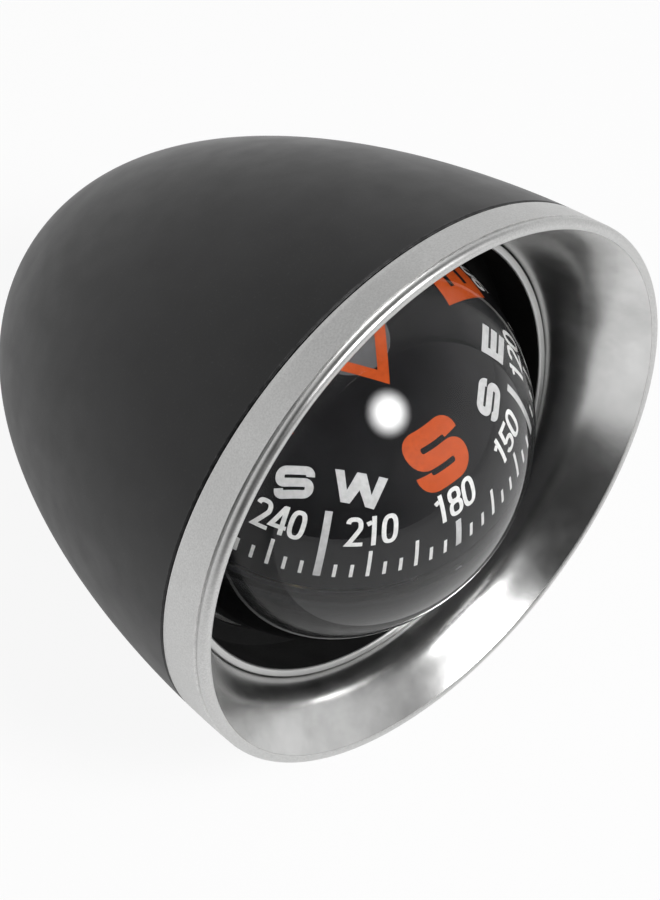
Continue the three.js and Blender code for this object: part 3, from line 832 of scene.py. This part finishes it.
def letter_s(x, y, stroke):
    """Wide S with square shoulders, its ends hooked back towards the middle bar."""
    x -= stroke / 2
    y -= stroke / 2
    hook = y - stroke * 0.72
    corners = [(x, hook), (x, y), (-x, y), (-x, 0), (x, 0), (x, -y), (-x, -y), (-x, -hook)]
    return ribbon(bend_corners(corners, stroke * 0.62), stroke)


def letter_e(x, y, stroke):
    half = stroke / 2
    return [[(-x, -y), (x, -y), (x, stroke - y), (stroke - x, stroke - y), (stroke - x, -half),
             (x, -half), (x, half), (stroke - x, half), (stroke - x, y - stroke),
             (x, y - stroke), (x, y), (-x, y)]]


def letter_n(x, y, stroke):
    slant = stroke * 1.5
    return [[(-x, -y), (stroke - x, -y), (stroke - x, y - slant), (x - stroke, -y), (x, -y),
             (x, y), (x - stroke, y), (x - stroke, slant - y), (stroke - x, y), (-x, y)]]


def letter_w(x, y, stroke):
    """Four slanted strokes with flat tops and feet."""
    foot = x * 0.47
    wide = stroke * 1.08
    half = wide / 2
    valley = stroke * 1.5 - y
    peak = y - stroke * 2
    return [[(-x, y), (-foot - half, -y), (half - foot, -y), (0, peak), (foot - half, -y),
             (foot + half, -y), (x, y), (x - wide, y), (foot, valley), (half, y), (-half, y),
             (-foot, valley), (wide - x, y)]]


# Each letter is drawn from half its width, half its height and its stroke.
LETTERS = {"S": letter_s, "E": letter_e, "N": letter_n, "W": letter_w}
FIGURE_STROKE = 0.138  # in a figure's heights
FIGURE_PITCH = 0.525


def lettered(letter, width, height, stroke):
    """The patches of a letter, its sizes in ball radii."""
    return drawn(LETTERS[letter](width * BALL / 2, height * BALL / 2, stroke * BALL))


def line(*corners):
    return [Vector(corner) for corner in corners]


def curve(up, half_w, half_h, start, end, steps=20):
    """Part of a squarish oval, by angle anticlockwise from the right, in degrees."""
    points = []
    for angle in np.radians(np.linspace(start, end, steps + 1)):
        across = math.copysign(abs(math.cos(angle)) ** 0.75, math.cos(angle))
        rise = math.copysign(abs(math.sin(angle)) ** 0.75, math.sin(angle))
        points.append(Vector((half_w * across, up + half_h * rise)))
    return points


def loop(up, half_w, half_h, steps=36):
    return curve(up, half_w, half_h, 0, 360, steps)[:-1]


def figure_strokes(figure):
    """Strokes of a narrow figure in a cell 0.5 wide and 1 high, as (path, whether it's closed)."""
    w = 0.25 - FIGURE_STROKE / 2
    h = 0.5 - FIGURE_STROKE / 2
    closed, open_ = {
        "0": ([loop(0, w, h, 40)], []),
        "1": ([], [line((0.05, -0.5), (0.05, 0.5)), line((-0.02, 0.31), (-0.16, 0.25))]),
        "2": ([], [curve(h - 0.2, w, 0.2, 170, -35) + line((-w, -h), (0.25, -h))]),
        "3": ([], [curve(h - 0.19, w * 0.92, 0.19, 160, -80), curve(0.21 - h, w, 0.21, 80, -160)]),
        "4": ([], [line((0.12, -0.5), (0.12, 0.5)),
                   line((0.25, -0.22), (-0.21, -0.22), (0.09, 0.46))]),
        "5": ([], [line((0.23, h), (-w * 0.85, h), (-w, 0.02))
                   + curve(0.215 - h, w, 0.215, 125, -165)]),
        "6": ([loop(0.215 - h, w, 0.215)], [curve(0, w, h, 40, 185)]),
        "7": ([], [line((-0.24, h), (w, h), (-0.06, -0.5))]),
        "8": ([loop(h - 0.19, w * 0.93, 0.19), loop(0.22 - h, w, 0.22)], []),
    }[figure.replace("9", "6")]
    turn = -1 if figure == "9" else 1
    return [([p * turn for p in path], i < len(closed)) for i, path in enumerate(closed + open_)]


def figures(text, height, bend):
    """Marks of a number, its figures side by side. Crossing strokes differ a hair in height."""
    marks = []
    for i, figure in enumerate(text):
        shift = Vector(((i - (len(text) - 1) / 2) * FIGURE_PITCH, 0))
        for layer, (path, closed) in enumerate(figure_strokes(figure)):
            patches = ribbon([(p + shift) * height for p in path], FIGURE_STROKE * height, closed)
            marks.append((drawn(patches, 0.7 * MM), bend, layer * 0.006 * MM))
    return marks


# Places and sizes of the marks, in ball radii. A place is an arc length from the card's crown.
TICK_FOOT = 1.098
CORNER_TICK = (0.75, 0.031)  # a tick's inner end and its width
CARDINAL_TICK = (0.945, 0.028)
MAIN_TICK = (0.945, 0.016)
FINE_TICK = (1.02, 0.015)
FIGURE_ARC = 0.8425
FIGURE_HEIGHT = 0.143
SMALL_LETTER_ARC = 0.638
SMALL_WIDTHS = {"S": 0.157, "E": 0.145, "N": 0.157, "W": 0.221}
SMALL_HEIGHT = 0.132
LETTER_OFFSET = 0.133  # either side of the middle of a pair
PAIR_SHIFT = 0.022  # of a pair's middle, from its tick to E or W
LARGE_LETTER_ARC = 0.615
LARGE_WIDTHS = {"S": 0.275, "E": 0.2365, "N": 0.275, "W": 0.374}
LARGE_HEIGHT = 0.275


def tick(bearing):
    if bearing % 45 == 0:
        top, width = CORNER_TICK if bearing % 90 else CARDINAL_TICK
    else:
        top, width = FINE_TICK if bearing % 15 else MAIN_TICK
    x = width / 2 * BALL
    y = (TICK_FOOT - top) / 2 * BALL
    return drawn([[(-x, -y), (x, -y), (x, y), (-x, y)]]), at_bearing(bearing, TICK_FOOT * BALL - y)


def build_ticks():
    thin = [tick(b) for b in range(0, 360, 5) if b % 45]
    bold = [tick(b) for b in range(0, 360, 45)]
    printed("degree_ticks", thin, WHITE_INK, "marking_white")
    printed("bold_ticks", bold, GREY_INK, "marking_white")


def build_figures():
    marks = []
    for bearing in range(0, 360, 30):
        bend = at_bearing(bearing, FIGURE_ARC * BALL)
        marks += figures(str(bearing or 360), FIGURE_HEIGHT * BALL, bend)
    printed("bearing_figures", marks, WHITE_INK, "marking_white")


def build_letters():
    small = []
    for corner, pair in ((45, "NE"), (135, "SE"), (225, "SW"), (315, "NW")):
        shift = PAIR_SHIFT if corner % 180 > 90 else -PAIR_SHIFT
        for letter, side in zip(pair, (-1, 1)):
            points, faces = lettered(letter, SMALL_WIDTHS[letter], SMALL_HEIGHT, 0.035)
            points[:, 0] += (side * LETTER_OFFSET + shift) * BALL
            small.append(((points, faces), straight_at(corner, SMALL_LETTER_ARC * BALL)))
    printed("corner_letters", small, GREY_INK, "marking_white")
    large = []
    for bearing, letter in ((0, "N"), (90, "E"), (180, "S"), (270, "W")):
        flat = lettered(letter, LARGE_WIDTHS[letter], LARGE_HEIGHT, 0.074)
        large.append((flat, at_bearing(bearing, LARGE_LETTER_ARC * BALL)))
    printed("cardinal_letters", large, ORANGE_INK, "marking_orange")


def build_triangle():
    """A hollow triangle across the hub, pointing south."""
    leg = 0.045 * BALL
    slope = math.tan(math.radians(36.5))  # half width gained per length
    apex, base = -0.26 * BALL, 0.10 * BALL
    inner_apex, inner_base = apex + leg / math.sin(math.atan(slope)), base - leg

    def triangle(low, high):
        half = (high - low) * slope
        return [Vector((0, low)), Vector((half, high)), Vector((-half, high))]

    outer, inner = triangle(apex, base), triangle(inner_apex, inner_base)
    patches = [[outer[i], outer[(i + 1) % 3], inner[(i + 1) % 3], inner[i]] for i in range(3)]
    printed("south_triangle", [(drawn(patches), seen_from_above)], ORANGE_INK, "marking_orange")


# ---- Foot, lamp and cable ----
def oval(name, node, narrowing, bevel, segments=128):
    """An oval plate filling a node's box, narrowing towards its top by a share of its size."""
    low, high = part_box(node)
    middle = (low + high) / 2
    half = (high - low) / 2
    height = high.z - low.z
    outline = rounded([(0, 0), (1, 0), (1 - narrowing, height), (0, height)], bevel)
    angles = np.linspace(0, 2 * math.pi, segments, endpoint=False)
    points = [(half.x * r * math.cos(angle), half.y * r * math.sin(angle), z)
              for angle in angles for r, z in outline]
    faces = faces_round([r for r, z in outline], segments, False)
    return finish_mesh(name, points, faces, Matrix.Translation((middle.x, middle.y, low.z)))


def build_foot():
    """An oval foot hollowed to the hood, with two counterbored screw holes, on a rubber pad."""
    foot = oval("moulded_foot", "foot", 0.22, 0.02)
    cutters = [turned("cutter", hood_outline(-0.3 * MM, MOUTH_STATION, 100))]
    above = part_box("foot")[1].z + 5 * MM
    for name in ("foot_screw_1", "foot_screw_2"):
        screw = middle_of(name)
        place = Matrix.Translation((screw.x, screw.y, 0))
        cutters.append(turned("cutter", bar(2.3 * MM, 0, above), place, 40))
        cutters.append(turned("cutter", bar(4.4 * MM, 0, 6.5 * MM), place, 48))
    carve(foot, *cutters, matrix=Matrix.Identity(4))
    show(foot, "housing", PAINT, "hood_paint", "foot")
    show(oval("rubber_foot_pad", "foot_pad", 0.0, 0.01), "housing", RUBBER, "rubber", "foot_pad")


def build_lamp():
    """A small lamp with a domed end, square to the hood's axis."""
    radius = 1.5 * MM
    seat = 13.3 * MM
    shoulder = seat + 2.6 * MM
    dome = [(radius * math.cos(a), shoulder + radius * math.sin(a))
            for a in np.linspace(0.15, math.pi / 2, 9)]
    bulb = [(0, seat), (radius, seat), (radius, shoulder)] + dome[:-1] + [(0, dome[-1][1])]
    up = (HOUSING.inverted() @ middle_of("lamp")).y
    place = HOUSING @ Matrix.Translation((0, up, 0))
    show(turned("lamp_bulb", bulb, place, 40), "housing", LAMP, "red_lamp", "lamp")


def build_grommet():
    bore, body, collar = 1.15 * MM, 2.3 * MM, 4.2 * MM
    back, step, front = -77.6 * MM, -75.95 * MM, -70.5 * MM
    outline = [(bore, back), (collar, back), (collar, step), (body, step), (body, front),
               (bore, front)]
    place = HOUSING @ Matrix.Translation((0, -CABLE_DROP, 0))
    grommet = turned("cable_grommet_round", rounded(outline, 0.5 * MM), place, 64)
    show(grommet, "housing", RUBBER, "rubber", "cable_grommet")


def soften_cable():
    """Rounds the CAD cable with modifiers only."""
    cable = frame["nodes"]["lamp_cable"]
    weld = cable.modifiers.new("weld", "WELD")
    weld.merge_threshold = 1e-6
    smooth = cable.modifiers.new("smooth", "SUBSURF")
    smooth.levels = smooth.render_levels = 2


# ---- CAD pieces that keep their own shape ----
# Material slots and the nodes in them, or how those nodes' names start.
KEPT = {
    "steel": ("foot_screw_", "foot_nut_", "flange_screw_", "cover_screw_", "block_screw_",
              "gimbal_pin_", "cradle_pin_", "pivot_pin", "counterweight", "card_magnet_",
              "cross_magnet", "cross_clip_", "long_magnet", "long_clip"),
    "brass": ("filler_plug", "pivot_post", "post_nut", "jewel_cup", "cross_rod", "long_rod"),
    "rubber": ("filler_washer", "capsule_seal", "shock_ring", "diaphragm", "lamp_cable"),
    "black_plastic": ("diaphragm_cover", "compensator_block", "lamp_holder"),
    "float_foam": ("card_float",),
    "jewel_red": ("jewel",),
}
KEPT_FINISH = {"steel": STEEL, "brass": BRASS, "rubber": RUBBER_CAD, "black_plastic": BLACK_CAD,
               "float_foam": FOAM, "jewel_red": JEWEL}


def slot_for(node):
    exact = [slot for slot, names in KEPT.items() if node in names]
    started = [slot for slot, names in KEPT.items() if node.startswith(names)]
    return (exact + started)[0]


def dress_cad():
    for name, piece in frame["nodes"].items():
        if piece.hide_render:
            continue
        slot = slot_for(name)
        piece.data.materials.clear()
        piece.data.materials.append(KEPT_FINISH[slot])


# ---- Stage ----
def build_world():
    """White to the camera. In reflections a pale room, dark overhead and on the camera's side."""
    world = bpy.data.worlds.new("studio")
    bpy.context.scene.world = world
    world.use_nodes = True
    nodes = Nodes(world.node_tree)
    direction = nodes.add("ShaderNodeTexCoord").outputs["Generated"]
    near, far = math.cos(math.radians(25)), math.cos(math.radians(75))

    def dark_patch(toward, darkest):
        """darkest within 25 degrees of a direction, rising to 1 at 75 degrees from it."""
        inputs = {0: direction, 1: Vector(toward).normalized()}
        dot = nodes.add("ShaderNodeVectorMath", inputs, operation="DOT_PRODUCT").outputs["Value"]
        return nodes.spread(dot, far, near, 1.0, darkest, "SMOOTHSTEP")

    patches = nodes.math("MULTIPLY", dark_patch((0, 0, 1), 0.12),
                         dark_patch((-0.6, -0.65, 0.45), 0.06))
    room = nodes.add("ShaderNodeBackground", {"Color": (0.8, 0.8, 0.8, 1),
                                              "Strength": nodes.math("MULTIPLY", patches, 0.95)})
    white = nodes.tree.nodes["Background"]
    white.inputs["Color"].default_value = (1, 1, 1, 1)
    is_camera = nodes.add("ShaderNodeLightPath").outputs["Is Camera Ray"]
    nodes.mix_shaders(is_camera, room.outputs[0], white.outputs[0], "World Output")


def build_floor():
    """A plain pale floor, just under the pad. It glows a little, more so to the camera."""
    paper = Finish("pale_floor", local=False)
    tone = paper.blend(paper.noise(4 * MM, 2), grey(0.78), grey(0.82))
    paper.set(Base_Color=tone, Roughness=0.9)
    glow = paper.add("ShaderNodeEmission", {"Color": (1, 1, 1, 1), "Strength": 1.0}).outputs[0]
    is_camera = paper.add("ShaderNodeLightPath").outputs["Is Camera Ray"]
    share = paper.math("ADD", paper.math("MULTIPLY", is_camera, 0.42), 0.5)
    paper.mix_shaders(share, paper.shader.outputs[0], glow, "Material Output")
    half = 3.0
    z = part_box("foot_pad")[0].z - 0.2 * MM
    mesh = bpy.data.meshes.new("floor")
    mesh.from_pydata([(-half, -half, z), (half, -half, z), (half, half, z), (-half, half, z)], [],
                     [(0, 1, 2, 3)])
    mesh.materials.append(paper.material)
    floor = bpy.data.objects.new("floor", mesh)
    bpy.context.scene.collection.objects.link(floor)


def build_key_light():
    """A soft disc overhead, fading to its rim so that its reflection has no hard edge."""
    toward = Vector((0.115, -0.542, 0.834))
    distance = 1.1
    lamp = bpy.data.lights.new("key_disc", "AREA")
    lamp.shape = "DISK"
    lamp.size = 0.52
    lamp.energy = 36
    lamp.use_nodes = True
    nodes = Nodes(lamp.node_tree)
    middle = 0.5  # of the disc's own 0 to 1 coordinates
    place = nodes.add("ShaderNodeNewGeometry").outputs["Parametric"]
    off_middle = nodes.add("ShaderNodeVectorMath", {0: place, 1: (middle, middle, 0)},
                           operation="DISTANCE").outputs["Value"]
    fade = nodes.spread(off_middle, middle, 0.0, 0.0, 1.0, "SMOOTHSTEP")
    nodes.feed(nodes.tree.nodes["Emission"].inputs["Strength"], fade)
    holder = bpy.data.objects.new("key_disc", lamp)
    holder.location = CENTRE + toward.normalized() * distance
    holder.rotation_euler = toward.to_track_quat("Z", "Y").to_euler()
    bpy.context.scene.collection.objects.link(holder)


def build_camera():
    """Above and to the left of the mouth, rolled so that the compass leans in the frame."""
    turn, lift, roll = (math.radians(angle) for angle in (-55.8, 58.3, 16.2))
    away, across, down = 9.787, 0.039, 0.109  # of the camera from the ball, in ball radii
    back = Vector((math.sin(turn) * math.cos(lift), -math.cos(turn) * math.cos(lift),
                   math.sin(lift)))
    level_right = Vector((math.cos(turn), math.sin(turn), 0))
    level_up = back.cross(level_right)
    right = level_right * math.cos(roll) + level_up * math.sin(roll)
    up = level_up * math.cos(roll) - level_right * math.sin(roll)
    camera = bpy.data.cameras.new("camera")
    camera.lens = 83.4
    camera.sensor_width = 36
    camera.clip_start = 0.01
    holder = bpy.data.objects.new("camera", camera)
    place = Matrix.Translation(CENTRE + (back * away + right * across - up * down) * BALL)
    holder.matrix_world = place @ Matrix((right, up, back)).transposed().to_4x4()
    bpy.context.scene.collection.objects.link(holder)
    bpy.context.scene.camera = holder


# ---- Build ----
for build in (build_hood, build_trim, build_reflector, build_inner_ring, build_ball, build_bowl,
              build_gimbal, build_cradle, build_card, build_ticks, build_figures, build_letters,
              build_triangle, build_foot, build_lamp, build_grommet, soften_cable, dress_cad,
              build_floor, build_world, build_key_light, build_camera):
    build()
bpy.context.scene.view_settings.view_transform = "Standard"
